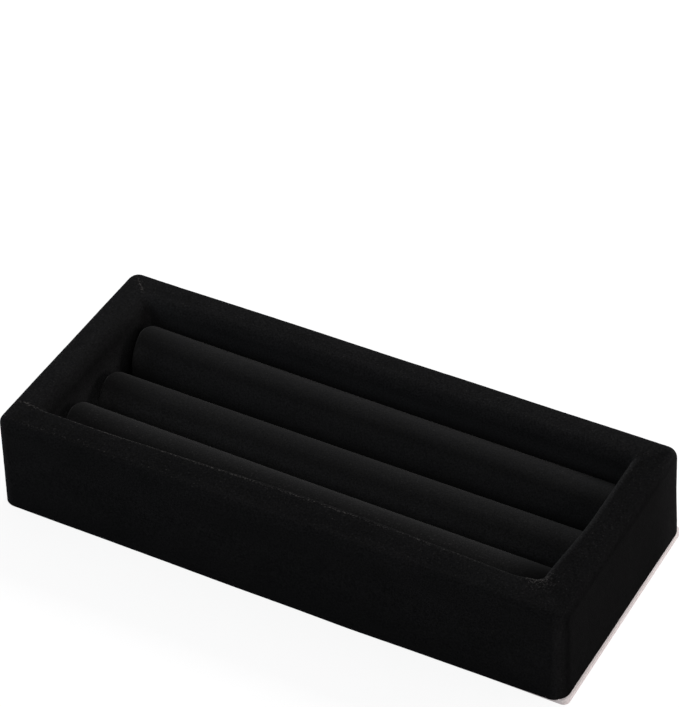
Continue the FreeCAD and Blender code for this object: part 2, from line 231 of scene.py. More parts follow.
# Finishes. A noise has its scale, detail and roughness, a span the two ends of a colour ramp,
# a bump its strength and height. Tones are linear colours.
FRAME_PILE = ((0.0062, 0.0062, 0.0064), (0.0078, 0.0078, 0.0080))
FRAME_SHEEN = 0.025
FRAME_SHEEN_ROUGHNESS = 0.30
ROLL_PILE = ((0.0056, 0.0056, 0.0057), (0.0068, 0.0068, 0.0069))
# Each roll has its own copy of the velvet; the sheen weights are a painted highlight strength per roll,
# lowest on the middle roll
ROLL_SHEENS = {"back": 0.058, "middle": 0.044, "front": 0.056}
ROLL_SHEEN_ROUGHNESS = 0.50
PATCH_STRETCH = (0.5, 1.0, 1.0)
PATCH_NOISE = (90.0, 5.0, 0.65)
PATCH_SPAN = (0.30, 0.70)
TUFT_NOISE = (1500.0, 3.0, 0.7)
TUFT_SPAN = (0.35, 0.65)
TUFT_TONES = ((0.65, 0.65, 0.65), (1.35, 1.35, 1.35))
# Pale pile tips; along the painted sheen lines the same tone paints the highlight
TIP_AND_SHEEN_TONE = (0.050, 0.047, 0.045)
TIP_FRAY_AND_SHEEN_LIFT = 0.30
TIP_FROM = 0.76
TIP_STEEPNESS = 4.5
LINT_TONE = (0.30, 0.28, 0.26)
LINT_CELLS = 95.0
LINT_CHOICE = 0.93
LINT_SIZE = 0.020
VELVET_ROUGHNESS = 0.95
VELVET_BUMP = (0.25, 0.0004)

FELT_STRETCH = (1.0, 2.5, 1.0)
FELT_NOISE = (900.0, 5.0, 0.7)
FELT_SPAN = (0.3, 0.75)
FELT_TONES = ((0.014, 0.014, 0.015), (0.040, 0.040, 0.042))
FELT_ROUGHNESS = 1.0
FELT_SPECULAR = 0.1
FELT_BUMP = (0.4, 0.0003)

BOARD_STRETCH = (1.0, 1.0, 3.0)
BOARD_NOISE = (1400.0, 5.0, 0.7)
BOARD_SPAN = (0.25, 0.75)
BOARD_TONES = ((0.72, 0.65, 0.64), (0.84, 0.77, 0.76))
BOARD_ROUGHNESS = 0.8
BOARD_BUMP = (0.25, 0.0002)
DIRT_NOISE = (60.0, 3.0, 0.55)
DIRT_SPAN = (0.35, 0.8)
DIRT_TONES = ((1.0, 1.0, 1.0), (0.90, 0.88, 0.87))

WOOD_STRETCH = 0.06
WOOD_RING_NOISE = (260.0, 2.0, 0.55)
WOOD_RING_SHARE = 0.7
WOOD_PORE_NOISE = (2200.0, 4.0, 0.7)
WOOD_SPAN = (0.35, 0.62)
WOOD_TONES = ((0.36, 0.22, 0.11), (0.60, 0.43, 0.26))
WOOD_ROUGHNESS = 0.75
WOOD_BUMP = (0.2, 0.0002)

STEEL_STRETCH = (1.0, 0.1, 1.0)
STEEL_NOISE = (3000.0, 3.0, 0.55)
STEEL_SPAN = (0.3, 0.7)
STEEL_TONES = ((0.50, 0.50, 0.51), (0.68, 0.68, 0.69))
STEEL_ROUGHNESS = 0.35
STEEL_BUMP = (0.1, 0.0001)

CARD_STRETCH = (1.0, 2.0, 2.0)
CARD_NOISE = (1600.0, 5.0, 0.7)
CARD_SPAN = (0.3, 0.75)
CARD_TONES = ((0.016, 0.016, 0.016), (0.044, 0.044, 0.044))
CARD_ROUGHNESS = 0.85
CARD_BUMP = (0.25, 0.0002)

FOAM_CELLS = 900.0
FOAM_SPAN = (0.1, 0.6)
FOAM_TONES = ((0.05, 0.05, 0.053), (0.24, 0.24, 0.25))
FOAM_ROUGHNESS = 1.0
FOAM_BUMP = (0.6, 0.0005)

# Places of the colour sockets among a mix node's inputs and outputs
MIX_FIRST = 6
MIX_SECOND = 7
MIX_RESULT = 2


def smooth_step(share):
    """Eases a share from 0 to 1, flat at both ends."""
    share = np.clip(share, 0.0, 1.0)
    return share * share * (3.0 - 2.0 * share)


def bell(offset, width):
    """1 at no offset, falling to nothing within about two widths."""
    return np.exp(-((offset / width) ** 2))


def noise_field(points, scale):
    """A smooth random height, about -1 to 1, at each point."""
    flat = points.reshape(-1, 3) * scale
    heights = [noise.noise(Vector(point)) for point in flat]
    return np.array(heights).reshape(points.shape[:-1])


# Materials

def new_material(name):
    material = bpy.data.materials.new(name)
    material.use_nodes = True
    return material, material.node_tree, material.node_tree.nodes["Principled BSDF"]


def add_node(tree, kind, values=None, **settings):
    node = tree.nodes.new(kind)
    for name, value in settings.items():
        setattr(node, name, value)
    for name, value in (values or {}).items():
        node.inputs[name].default_value = value
    return node


def place_of(tree, stretch=(1.0, 1.0, 1.0)):
    """The point on the object that is shaded, in metres, stretched along the axes."""
    coordinates = add_node(tree, "ShaderNodeTexCoord")
    mapping = add_node(tree, "ShaderNodeMapping", {"Scale": stretch})
    tree.links.new(coordinates.outputs["Object"], mapping.inputs["Vector"])
    return mapping.outputs["Vector"]


def noise_factor(tree, place, pattern):
    """A noise with a scale, a detail and a roughness."""
    values = dict(zip(("Scale", "Detail", "Roughness"), pattern))
    texture = add_node(tree, "ShaderNodeTexNoise", values)
    tree.links.new(place, texture.inputs["Vector"])
    return texture.outputs["Fac"]


def ramp(tree, factor, span, tones):
    """A colour that goes from one tone to another between two places of a factor."""
    node = add_node(tree, "ShaderNodeValToRGB")
    first, last = node.color_ramp.elements
    first.position, last.position = span
    first.color = (*tones[0], 1.0)
    last.color = (*tones[1], 1.0)
    tree.links.new(factor, node.inputs["Fac"])
    return node.outputs["Color"]


def math_node(tree, operation, first, second, clamp=False):
    """One step of arithmetic on two values, each a number or a socket."""
    node = add_node(tree, "ShaderNodeMath", operation=operation, use_clamp=clamp)
    for socket, value in zip(node.inputs, (first, second)):
        if isinstance(value, (int, float)):
            socket.default_value = value
        else:
            tree.links.new(value, socket)
    return node.outputs["Value"]


def mix_colours(tree, factor, first, second, blend="MIX"):
    """A mix of two colours, each a tone or a socket, by a number or a socket."""
    node = add_node(tree, "ShaderNodeMix", data_type="RGBA", blend_type=blend)
    sockets = (node.inputs["Factor"], node.inputs[MIX_FIRST], node.inputs[MIX_SECOND])
    for socket, value in zip(sockets, (factor, first, second)):
        if isinstance(value, tuple):
            socket.default_value = (*value, 1.0)
        elif isinstance(value, float):
            socket.default_value = value
        else:
            tree.links.new(value, socket)
    return node.outputs[MIX_RESULT]


def add_bump(tree, shader, height, bump):
    """Roughens the shading by a height."""
    node = add_node(tree, "ShaderNodeBump", dict(zip(("Strength", "Distance"), bump)))
    tree.links.new(height, node.inputs["Height"])
    tree.links.new(node.outputs["Normal"], shader.inputs["Normal"])


def lint_factor(tree, place):
    """A few tiny specks of lint: the middles of some cells of a loose pattern."""
    cells = add_node(tree, "ShaderNodeTexVoronoi", {"Scale": LINT_CELLS})
    tree.links.new(place, cells.inputs["Vector"])
    chosen = add_node(tree, "ShaderNodeSeparateColor")
    tree.links.new(cells.outputs["Color"], chosen.inputs["Color"])
    kept = math_node(tree, "GREATER_THAN", chosen.outputs["Red"], LINT_CHOICE)
    near = math_node(tree, "LESS_THAN", cells.outputs["Distance"], LINT_SIZE)
    return math_node(tree, "MULTIPLY", kept, near)


def tip_factor(tree, tuft):
    """Where pale pile tips show: on the highest tufts, and on more of them where the pile frays and along
    painted sheen lines.
    """
    fray_and_sheen = add_node(tree, "ShaderNodeAttribute", attribute_name="fray_and_sheen").outputs["Fac"]
    raised = math_node(tree, "ADD", tuft, math_node(tree, "MULTIPLY", fray_and_sheen, TIP_FRAY_AND_SHEEN_LIFT))
    above = math_node(tree, "SUBTRACT", raised, TIP_FROM)
    return math_node(tree, "MULTIPLY", above, TIP_STEEPNESS, clamp=True)


def make_velvet(name, tones, sheen, sheen_roughness):
    """Black velvet: patches of another lean, tufts, pale tips where it frays and along painted sheen
    lines, lint, sheen, and painted light and shade.
    """
    material, tree, shader = new_material(name)
    place = place_of(tree)
    patches = noise_factor(tree, place_of(tree, PATCH_STRETCH), PATCH_NOISE)
    tuft = noise_factor(tree, place, TUFT_NOISE)
    # This attribute carries painted light and shade, multiplied into the pile's tone
    painted_shading = add_node(tree, "ShaderNodeAttribute", attribute_name="painted_shading").outputs["Fac"]
    grain = ramp(tree, tuft, TUFT_SPAN, TUFT_TONES)
    colour = ramp(tree, patches, PATCH_SPAN, tones)
    colour = mix_colours(tree, 1.0, colour, painted_shading, "MULTIPLY")
    colour = mix_colours(tree, 1.0, colour, grain, "MULTIPLY")
    colour = mix_colours(tree, tip_factor(tree, tuft), colour, TIP_AND_SHEEN_TONE)
    colour = mix_colours(tree, lint_factor(tree, place), colour, LINT_TONE)
    tree.links.new(colour, shader.inputs["Base Color"])
    shader.inputs["Roughness"].default_value = VELVET_ROUGHNESS
    shader.inputs["Specular IOR Level"].default_value = 0.0
    shader.inputs["Sheen Weight"].default_value = sheen
    shader.inputs["Sheen Roughness"].default_value = sheen_roughness
    add_bump(tree, shader, tuft, VELVET_BUMP)
    return material


def make_felt():
    """Thin black felt with matted fibres."""
    material, tree, shader = new_material("felt_black")
    fibres = noise_factor(tree, place_of(tree, FELT_STRETCH), FELT_NOISE)
    colour = ramp(tree, fibres, FELT_SPAN, FELT_TONES)
    tree.links.new(colour, shader.inputs["Base Color"])
    shader.inputs["Roughness"].default_value = FELT_ROUGHNESS
    shader.inputs["Specular IOR Level"].default_value = FELT_SPECULAR
    add_bump(tree, shader, fibres, FELT_BUMP)
    return material


def make_pale_board():
    """Pale pink-grey pressed board, with fine fibres and a little dirt."""
    material, tree, shader = new_material("board_pale")
    place = place_of(tree, BOARD_STRETCH)
    fibres = noise_factor(tree, place, BOARD_NOISE)
    patches = noise_factor(tree, place, DIRT_NOISE)
    colour = ramp(tree, fibres, BOARD_SPAN, BOARD_TONES)
    dirt = ramp(tree, patches, DIRT_SPAN, DIRT_TONES)
    colour = mix_colours(tree, 1.0, colour, dirt, "MULTIPLY")
    tree.links.new(colour, shader.inputs["Base Color"])
    shader.inputs["Roughness"].default_value = BOARD_ROUGHNESS
    add_bump(tree, shader, fibres, BOARD_BUMP)
    return material


def make_wood(name, stretch):
    """Planed softwood with its grain along one axis."""
    material, tree, shader = new_material(name)
    place = place_of(tree, stretch)
    rings = noise_factor(tree, place, WOOD_RING_NOISE)
    pores = noise_factor(tree, place, WOOD_PORE_NOISE)
    ring_part = math_node(tree, "MULTIPLY", rings, WOOD_RING_SHARE)
    pore_part = math_node(tree, "MULTIPLY", pores, 1.0 - WOOD_RING_SHARE)
    grain = math_node(tree, "ADD", ring_part, pore_part)
    colour = ramp(tree, grain, WOOD_SPAN, WOOD_TONES)
    tree.links.new(colour, shader.inputs["Base Color"])
    shader.inputs["Roughness"].default_value = WOOD_ROUGHNESS
    add_bump(tree, shader, pores, WOOD_BUMP)
    return material


def make_steel():
    """Bright drawn wire."""
    material, tree, shader = new_material("steel_bright")
    scratches = noise_factor(tree, place_of(tree, STEEL_STRETCH), STEEL_NOISE)
    colour = ramp(tree, scratches, STEEL_SPAN, STEEL_TONES)
    tree.links.new(colour, shader.inputs["Base Color"])
    shader.inputs["Metallic"].default_value = 1.0
    shader.inputs["Roughness"].default_value = STEEL_ROUGHNESS
    add_bump(tree, shader, scratches, STEEL_BUMP)
    return material


def make_black_card():
    """Black card, matte, with short paper fibres."""
    material, tree, shader = new_material("card_black")
    fibres = noise_factor(tree, place_of(tree, CARD_STRETCH), CARD_NOISE)
    colour = ramp(tree, fibres, CARD_SPAN, CARD_TONES)
    tree.links.new(colour, shader.inputs["Base Color"])
    shader.inputs["Roughness"].default_value = CARD_ROUGHNESS
    add_bump(tree, shader, fibres, CARD_BUMP)
    return material


def make_foam():
    """Grey open-cell foam."""
    material, tree, shader = new_material("foam_grey")
    cells = add_node(tree, "ShaderNodeTexVoronoi", {"Scale": FOAM_CELLS})
    tree.links.new(place_of(tree), cells.inputs["Vector"])
    colour = ramp(tree, cells.outputs["Distance"], FOAM_SPAN, FOAM_TONES)
    tree.links.new(colour, shader.inputs["Base Color"])
    shader.inputs["Roughness"].default_value = FOAM_ROUGHNESS
    add_bump(tree, shader, cells.outputs["Distance"], FOAM_BUMP)
    return material


# Meshes

def new_piece(name, points, faces, material):
    """A smooth-shaded mesh object, with edges kept sharp past an angle."""
    mesh = bpy.data.meshes.new(name)
    mesh.from_pydata([tuple(point) for point in points], [], faces)
    mesh.materials.append(material)
    mesh.polygons.foreach_set("use_smooth", [True] * len(mesh.polygons))
    mesh.set_sharp_from_angle(angle=SHARP_ANGLE)
    piece = bpy.data.objects.new(name, mesh)
    bpy.context.scene.collection.objects.link(piece)
    return piece


def grid_faces(rows, columns, close_rows=False, close_columns=False):
    """Quads over a grid of points that is numbered row by row."""
    last_row = rows if close_rows else rows - 1
    last_column = columns if close_columns else columns - 1
    faces = []
    for row in range(last_row):
        following_row = (row + 1) % rows
        for column in range(last_column):
            following = (column + 1) % columns
            first, second = row * columns, following_row * columns
            faces.append((first + column, second + column, second + following, first + following))
    return faces


def set_pile_and_painted_light(piece, fray_and_sheen, painted_shading):
    """Tells the velvet at each point how much its pile frays, with painted sheen lines, and its painted
    light and shade.
    """
    for name, values in (("fray_and_sheen", fray_and_sheen), ("painted_shading", painted_shading)):
        layer = piece.data.attributes.new(name, "FLOAT", "POINT")
        layer.data.foreach_set("value", np.asarray(values, np.float32).ravel())


# Velvet on the frame

def corner_shares():
    """Shares of a quarter turn, crowded towards the seam in its middle."""
    reach = np.linspace(-1.0, 1.0, CORNER_STEPS + 1)
    return 0.5 + 0.5 * np.sign(reach) * np.abs(reach) ** CORNER_CROWDING


def corner_arc(centre_x, centre_y, radius, start_degrees):
    """Points of a round corner, each with its outward direction."""
    rows = []
    for share in corner_shares():
        angle = math.radians(start_degrees + 90.0 * share)
        across, along = math.cos(angle), math.sin(angle)
        rows.append((centre_x + radius * across, centre_y + radius * along, across, along))
    return rows


def loop_round(half_x, half_y, radius):
    """Stations round a rectangle with round corners, from its front right corner towards the back."""
    x, y = half_x - radius, half_y - radius
    arcs = [
        corner_arc(x, -y, radius, -90.0),
        corner_arc(x, y, radius, 0.0),
        corner_arc(-x, y, radius, 90.0),
        corner_arc(-x, -y, radius, 180.0),
    ]
    stations = []
    for index, arc in enumerate(arcs):
        start, end = np.array(arc[-1]), np.array(arcs[(index + 1) % 4][0])
        steps = LONG_RUN_STEPS if index % 2 else SHORT_RUN_STEPS
        run = [start + (end - start) * step / steps for step in range(1, steps)]
        stations += [np.array(row) for row in arc] + run
    return np.array(stations)


OUTSIDE = loop_round(WRAP_HIGH.x, WRAP_HIGH.y, CORNER_RADIUS)
INSIDE = loop_round(OPENING_X, OPENING_Y, OPENING_RADIUS)
FACING = OUTSIDE[:, 2:]


def inner_rounds():
    """The radius of the rim's inner edge at each station: softer at the back and the left."""
    soft = smooth_step(np.maximum(FACING[:, 1], -FACING[:, 0]))
    return INNER_ROUND + (SOFT_INNER_ROUND - INNER_ROUND) * soft


INNER_ROUNDS = inner_rounds()


def hem_heights():
    """The height of the velvet's lower edge at each station."""
    top = BOARD_HIGH.z + HEM_LIFT
    straight_end = WRAP_HIGH.x - CORNER_RADIUS
    climb = np.clip((OUTSIDE[:, 0] - HEM_CLIMB_FROM) / (straight_end - HEM_CLIMB_FROM), 0.0, 1.0)
    front = np.where(FACING[:, 1] < 0.0, HEM_LOW + (HEM_CLIMB - HEM_LOW) * climb, HEM_LOW)
    turned = smooth_step(np.clip(FACING[:, 0], 0.0, 1.0))
    return front + (top - front) * turned


HEM = hem_heights()


def hem_flare(heights):
    """How far the velvet's lower edge stands out over the board's ledge at the right end."""
    along = (OUTSIDE[:, 1] + WRAP_HIGH.y) / (2.0 * WRAP_HIGH.y)
    most = HEM_FLARE_FRONT + (HEM_FLARE_BACK - HEM_FLARE_FRONT) * along
    return most * smooth_step(FACING[:, 0]) * smooth_step(1.0 - (heights - HEM) / HEM_FLARE_HEIGHT)


def outer_plan(distance, heights):
    """Stations that far in from the outside, with the outside's lean and its flare at the hem."""
    inward = distance + LEAN_IN * (heights / RIM_TOP - 0.5) - hem_flare(heights)
    return OUTSIDE[:, :2] - inward[:, None] * FACING


def inner_plan(distance):
    """Stations that far out from the inside."""
    return INSIDE[:, :2] + np.asarray(distance)[:, None] * INSIDE[:, 2:]


def level(height):
    """One height for all stations."""
    return np.full(len(OUTSIDE), height)


def row_of(plan, heights):
    """One row of points from their plan and their heights."""
    return np.column_stack([plan, heights])


def outside_rows():
    """From the hem up the outside and over its rounding."""
    spring = RIM_TOP - OUTER_ROUND
    rows = []
    for share in np.linspace(0.0, 1.0, WALL_STEPS + 1):
        heights = HEM + share * (spring - HEM)
        rows.append(row_of(outer_plan(0.0, heights), heights))
    for turn in np.radians(np.linspace(0.0, 90.0, ROUND_STEPS + 1))[1:]:
        heights = level(spring + OUTER_ROUND * math.sin(turn))
        rows.append(row_of(outer_plan(OUTER_ROUND * (1.0 - math.cos(turn)), heights), heights))
    return rows


def top_rows():
    """Across the top of the rim, a little crowned."""
    start = outer_plan(OUTER_ROUND, level(RIM_TOP))
    end = inner_plan(INNER_ROUNDS)
    rows = []
    for share in np.linspace(0.0, 1.0, TOP_STEPS + 1)[1:]:
        heights = level(RIM_TOP + RIM_CROWN * math.sin(math.pi * share))
        rows.append(row_of((1.0 - share) * start + share * end, heights))
    return rows


def inside_rows():
    """Over the inner rounding and down the inside to the base board."""
    rows = []
    for turn in np.radians(np.linspace(90.0, 0.0, ROUND_STEPS + 1))[1:]:
        heights = RIM_TOP - INNER_ROUNDS * (1.0 - math.sin(turn))
        rows.append(row_of(inner_plan(INNER_ROUNDS * (1.0 - math.cos(turn))), heights))
    spring = RIM_TOP - INNER_ROUNDS
    for share in np.linspace(0.0, 1.0, WALL_STEPS + 1)[1:]:
        rows.append(row_of(inner_plan(level(0.0)), spring + share * (BOARD_HIGH.z - spring)))
    return rows


def hidden_rows():
    """Back along the rails to the hem."""
    step = np.maximum(BOARD_HIGH.z, HEM + HEM_STEP)
    under = level(RIM_TOP - WRAP_THICKNESS)
    return [
        row_of(inner_plan(level(WRAP_THICKNESS)), level(BOARD_HIGH.z)),
        row_of(inner_plan(level(WRAP_THICKNESS)), under),
        row_of(outer_plan(WRAP_THICKNESS, under), under),
        row_of(outer_plan(WRAP_THICKNESS, step), step),
        row_of(outer_plan(HEM_THICKNESS, step), step),
        row_of(outer_plan(HEM_THICKNESS, HEM), HEM),
    ]


def grid_normals(points):
    """Outward directions of a grid of points that is closed along its rows."""
    along = np.roll(points, -1, axis=0) - np.roll(points, 1, axis=0)
    up = np.gradient(points, axis=1)
    normals = np.cross(along, up)
    return normals / np.linalg.norm(normals, axis=2, keepdims=True)


def off_mitre(points):
    """How far each point lies from the nearest corner's diagonal."""
    slant = np.abs(points[..., 0]) - np.abs(points[..., 1]) - (WRAP_HIGH.x - WRAP_HIGH.y)
    return np.abs(slant) / math.sqrt(2.0)


def on_top(points, depth):
    """1 on top of the rim, falling to 0 at a depth below it."""
    return smooth_step(1.0 - (RIM_TOP - points[..., 2]) / depth)


def seam_heights(points):
    """The corner seams: shallow grooves on the rim that fade down the walls."""
    return -SEAM_DEPTH * bell(off_mitre(points), SEAM_WIDTH) * on_top(points, SEAM_FADE)


def front_bow(points):
    """How much of the front rim's swelling each point has: most at its inner edge and mid length."""
    reach = np.clip((points[..., 0] - BOW_MIDDLE) / BOW_HALF_LENGTH, -1.0, 1.0)
    along = (1.0 - reach ** 2) ** 2
    across = smooth_step((points[..., 1] + WRAP_HIGH.y - OUTER_ROUND) / RIM_FLAT)
    front = points[..., 1] < -OPENING_Y / 2.0
    return np.where(front, along * across * on_top(points, BOW_DEPTH), 0.0)


def corner_fill(points):
    """How far the velvet at the well's front right corner leans left and back: most at its inner edge."""
    from_right = smooth_step((WRAP_HIGH.x - OUTER_ROUND - points[..., 0]) / RIM_FLAT)
    from_front = smooth_step((WRAP_HIGH.y - OUTER_ROUND + points[..., 1]) / RIM_FLAT)
    share = from_right * from_front * on_top(points, BOW_DEPTH)
    from_corner = np.hypot(points[..., 0] - OPENING_X, points[..., 1] + OPENING_Y)
    left = FILL_LEFT * smooth_step(1.0 - from_corner / FILL_LEFT_REACH)
    back = FILL_BACK * smooth_step(1.0 - from_corner / FILL_BACK_REACH)
    return share * left, share * back


def paint_row_counts():
    """The count of each row of the cloth, as in the painted tone table's rows."""
    return np.concatenate([
        np.zeros(WALL_STEPS + 1),
        np.linspace(0.0, 1.0, ROUND_STEPS + 1)[1:],
        np.ones(TOP_STEPS),
        np.linspace(1.0, 2.0, ROUND_STEPS + 1)[1:],
        np.linspace(2.0, 3.0, WALL_STEPS + 1)[1:],
    ])


def painted_frame_lifts(rows):
    """Painted light: lighter outer corners and well's shaded back left corner, a painted highlight on the
    right outside towards its back.
    """
    across, along = FACING[:, 0], FACING[:, 1]
    outside = np.clip(1.0 - rows, 0.0, 1.0)
    inside = np.clip(rows - 1.0, 0.0, 1.0)
    corner = np.outer(np.abs(2.0 * across * along), outside)
    near_back = smooth_step(1.0 - (WRAP_HIGH.y - OUTSIDE[:, 1]) / PAINTED_RIGHT_BACK_REACH)
    right_end = np.outer(near_back * np.clip(across, 0.0, 1.0), outside)
    from_corner = np.hypot(INSIDE[:, 0] + OPENING_X, INSIDE[:, 1] - OPENING_Y)
    shaded = np.outer(smooth_step(1.0 - from_corner / PAINTED_WELL_CORNER_REACH), inside)
    lift = (1.0 + PAINTED_CORNER_LIGHT * corner) * (1.0 + PAINTED_RIGHT_BACK_HIGHLIGHT * right_end)
    return lift * (1.0 + PAINTED_WELL_CORNER_LIGHT * shaded)


def painted_frame_tones():
    """The painted light and shade at each station and row, blended round the corners and over the edges.
    """
    rows = paint_row_counts()
    across, along = FACING[:, 0], FACING[:, 1]
    shares = {
        "front": np.clip(-along, 0.0, 1.0) ** 2,
        "right": np.clip(across, 0.0, 1.0) ** 2,
        "back": np.clip(along, 0.0, 1.0) ** 2,
        "left": np.clip(-across, 0.0, 1.0) ** 2,
    }
    painted_shading = sum(np.outer(share, np.interp(rows, PAINT_ROWS, PAINTED_SIDE_TONES[side])) for side, share in shares.items())
    return painted_shading * painted_frame_lifts(rows)


def edge_fray_and_sheen(points):
    """Fraying along the rim's edges, and a painted sheen highlight along the inner front and right edges.
    On the front inner edge it falls from the left to the right.
    """
    x, y = points[..., 0], points[..., 1]
    inner_front = bell(y + OPENING_Y + EDGE_LINE_IN, EDGE_LINE_WIDTH) * (x < OPENING_X)
    inner_right = bell(x - OPENING_X - EDGE_LINE_IN, EDGE_LINE_WIDTH) * (np.abs(y) < OPENING_Y)
    outer_left = smooth_step(1.0 - (x + WRAP_HIGH.x) / EDGE_BAND)
    outer_front = bell(y + WRAP_HIGH.y - OUTER_ROUND, EDGE_LINE_WIDTH) * smooth_step(-x / WRAP_HIGH.x)
    edges = (SHEEN_FRAY_INNER_FRONT - SHEEN_FRAY_INNER_FRONT_FALL * x / OPENING_X) * inner_front
    edges += SHEEN_FRAY_INNER_RIGHT * inner_right
    edges += FRAY_OUTER_LEFT * outer_left + FRAY_OUTER_FRONT * outer_front
    return edges


def corner_fray(points):
    """Fray round the well's front right corner, and in a streak on the back left seam."""
    x, y = points[..., 0], points[..., 1]
    cluster = bell(np.hypot(x - OPENING_X, y + OPENING_Y), CLUSTER_SIZE)
    from_corner = np.hypot(x + WRAP_HIGH.x, y - WRAP_HIGH.y)
    in_streak = (from_corner > STREAK_FROM) & (from_corner < STREAK_TO)
    streak = bell(off_mitre(points), EDGE_LINE_WIDTH) * in_streak
    return FRAY_CLUSTER * cluster + FRAY_STREAK * streak


def upright_sheen_line(points):
    """A painted sheen highlight with some fraying down the outside of the front right corner."""
    at_corner = (points[..., 0] > OPENING_X) & (points[..., 1] < -OPENING_Y)
    return SHEEN_UPRIGHT * bell(off_mitre(points), UPRIGHT_WIDTH) * at_corner


def fray_and_sheen_lines(points):
    """How much the pile frays along the edges and corners that hands and goods rub, with painted sheen
    lines on the inner front and right edges and down the front right upright.
    """
    top = on_top(points, EDGE_DEPTH)
    rim = RIM_FRAY + edge_fray_and_sheen(points) + corner_fray(points)
    return np.clip(top * rim + (1.0 - top) * upright_sheen_line(points), 0.0, 1.0)


def shape_cloth(cloth):
    """Presses the seams in and makes the cloth a little uneven."""
    heights = seam_heights(cloth)
    heights += WAVE_HEIGHT * noise_field(cloth, WAVE_SCALE)
    heights += NAP_HEIGHT * noise_field(cloth, NAP_SCALE)
    return cloth + heights[..., None] * grid_normals(cloth)


def make_velvet_wrap(material):
    """Velvet stretched over the frame: outside, rim and inside, with its hidden faces closing it."""
    cloth = np.stack(outside_rows() + top_rows() + inside_rows(), axis=1)
    bow = front_bow(cloth)
    cloth[..., 2] += BOW_RISE * bow
    cloth[..., 1] += BOW_LEAN * bow
    # Fraying, with painted sheen lines on the inner front and right edges and the front right upright
    fray_and_sheen = fray_and_sheen_lines(cloth)
    left, back = corner_fill(cloth)
    cloth[..., 0] -= left
    cloth[..., 1] += back
    hidden = np.stack(hidden_rows(), axis=1)
    points = np.concatenate([shape_cloth(cloth), hidden], axis=1)
    stations, section = points.shape[:2]
    faces = grid_faces(stations, section, close_rows=True, close_columns=True)
    piece = new_piece("velvet_wrap_cloth", points.reshape(-1, 3), faces, material)
    fray_and_sheen = np.concatenate([fray_and_sheen, np.zeros(hidden.shape[:2])], axis=1)
    # Painted light and shade on the cloth, none on the hidden faces
    painted_shading = np.concatenate([painted_frame_tones(), np.ones(hidden.shape[:2])], axis=1)
    set_pile_and_painted_light(piece, fray_and_sheen, painted_shading)
    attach(piece, "tray")
    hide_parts("velvet_wrap")


# Padded rolls

def arch(half_width, spring, rise):
    """An arched section from its front foot over the top to its back foot, as pairs of across and up.

    Across is a share of the half width. The sides are arcs that draw in towards the foot.
    """
    side_radius = (spring ** 2 + ROLL_DRAW_IN ** 2) / (2.0 * ROLL_DRAW_IN)
    pairs = []
    for share in np.linspace(0.0, 1.0, ROLL_SIDE_STEPS + 1):
        below = spring * (1.0 - share)
        drawn_in = side_radius - math.sqrt(side_radius ** 2 - below ** 2)
        pairs.append((1.0 - drawn_in / half_width, spring * share))
    for turn in np.radians(np.linspace(0.0, 180.0, ROLL_CROWN_STEPS + 1))[1:]:
        pairs.append((math.cos(turn), spring + rise * math.sin(turn)))
    side = [(-across, up) for across, up in pairs[:ROLL_SIDE_STEPS]]
    return np.array(pairs + side[::-1]) * (-1.0, 1.0)


def end_shape(reach):
    """The share of its full width that a roll has, at a share of the way to its tip."""
    return max((1.0 - reach ** ROLL_END_POWER) ** (1.0 / ROLL_END_POWER), ROLL_TIP_SHARE)


def end_drop(reach):
    """How far the crest has come down, at a share of the way to the tip."""
    over = max(0.0, 1.0 - (1.0 - reach) * ROLL_END_LENGTH / ROLL_END_DROP)
    return ROLL_END_DROP * (1.0 - math.sqrt(1.0 - over ** 2))


def roll_sections(half_length, half_width, height):
    """The sections along a roll, from its left tip to its right one, each with its place along X."""
    spring = height - half_width
    straight = half_length - ROLL_END_LENGTH
    whole = arch(half_width, spring, half_width) * (half_width, 1.0)
    left = []
    for turn in np.radians(np.linspace(90.0, 0.0, ROLL_END_STEPS + 1)):
        reach = math.sin(turn)
        section = arch(half_width, spring, half_width - end_drop(reach))
        left.append((-straight - ROLL_END_LENGTH * reach, section * (half_width * end_shape(reach), 1.0)))
    middle = np.linspace(-straight, straight, ROLL_LENGTH_STEPS + 1)[1:-1]
    right = [(-place, section) for place, section in reversed(left)]
    return left + [(place, whole) for place in middle] + right


def roll_points(roll, low, high, inset):
    """The roll's grid of points, clear of the left wall, with a crest that falls from left to right."""
    left = low.x + ROLL_LEFT_GAPS[roll]
    middle_x = (left + high.x) / 2.0
    middle_y = (low.y + high.y) / 2.0
    half_length = (high.x - left) / 2.0 - inset
    half_width = (high.y - low.y) / 2.0 - inset
    height = high.z - low.z - inset + ROLL_START_RISES[roll]
    rows = []
    for place, section in roll_sections(half_length, half_width, height):
        fall = 1.0 - ROLL_LEANS[roll] / height * place / half_length
        rows.append([(middle_x + place, middle_y + across, low.z + up * fall) for across, up in section])
    return np.array(rows)


def end_faces(first, columns, turned):
    """Closes the narrow slit in the middle of an end face."""
    faces = []
    for column in range(columns // 2):
        left, right = first + column, first + columns - 1 - column
        if right - left == 2:
            face = (left, left + 1, right)
        else:
            face = (left, left + 1, right - 1, right)
        faces.append(face[::-1] if turned else face)
    return faces


def roll_faces(rows, columns):
    """Quads over a closed roll."""
    faces = grid_faces(rows, columns)
    faces += end_faces(0, columns, False)
    faces += end_faces((rows - 1) * columns, columns, True)
    for row in range(rows - 1):
        first, second = row * columns, (row + 1) * columns
        faces.append((first + columns - 1, second + columns - 1, second, first))
    return faces


def make_roll(name, points, material):
    """A closed roll from its grid of points."""
    rows, columns = points.shape[:2]
    return new_piece(name, points.reshape(-1, 3), roll_faces(rows, columns), material)


def foot_indices(piece, foot):
    """The points that are glued down."""
    return [vertex.index for vertex in piece.data.vertices if vertex.co.z < foot + CARD_TOUCH]


def positions(mesh):
    values = np.empty(len(mesh.vertices) * 3, np.float32)
    mesh.vertices.foreach_get("co", values)
    return values.reshape(-1, 3).astype(float)


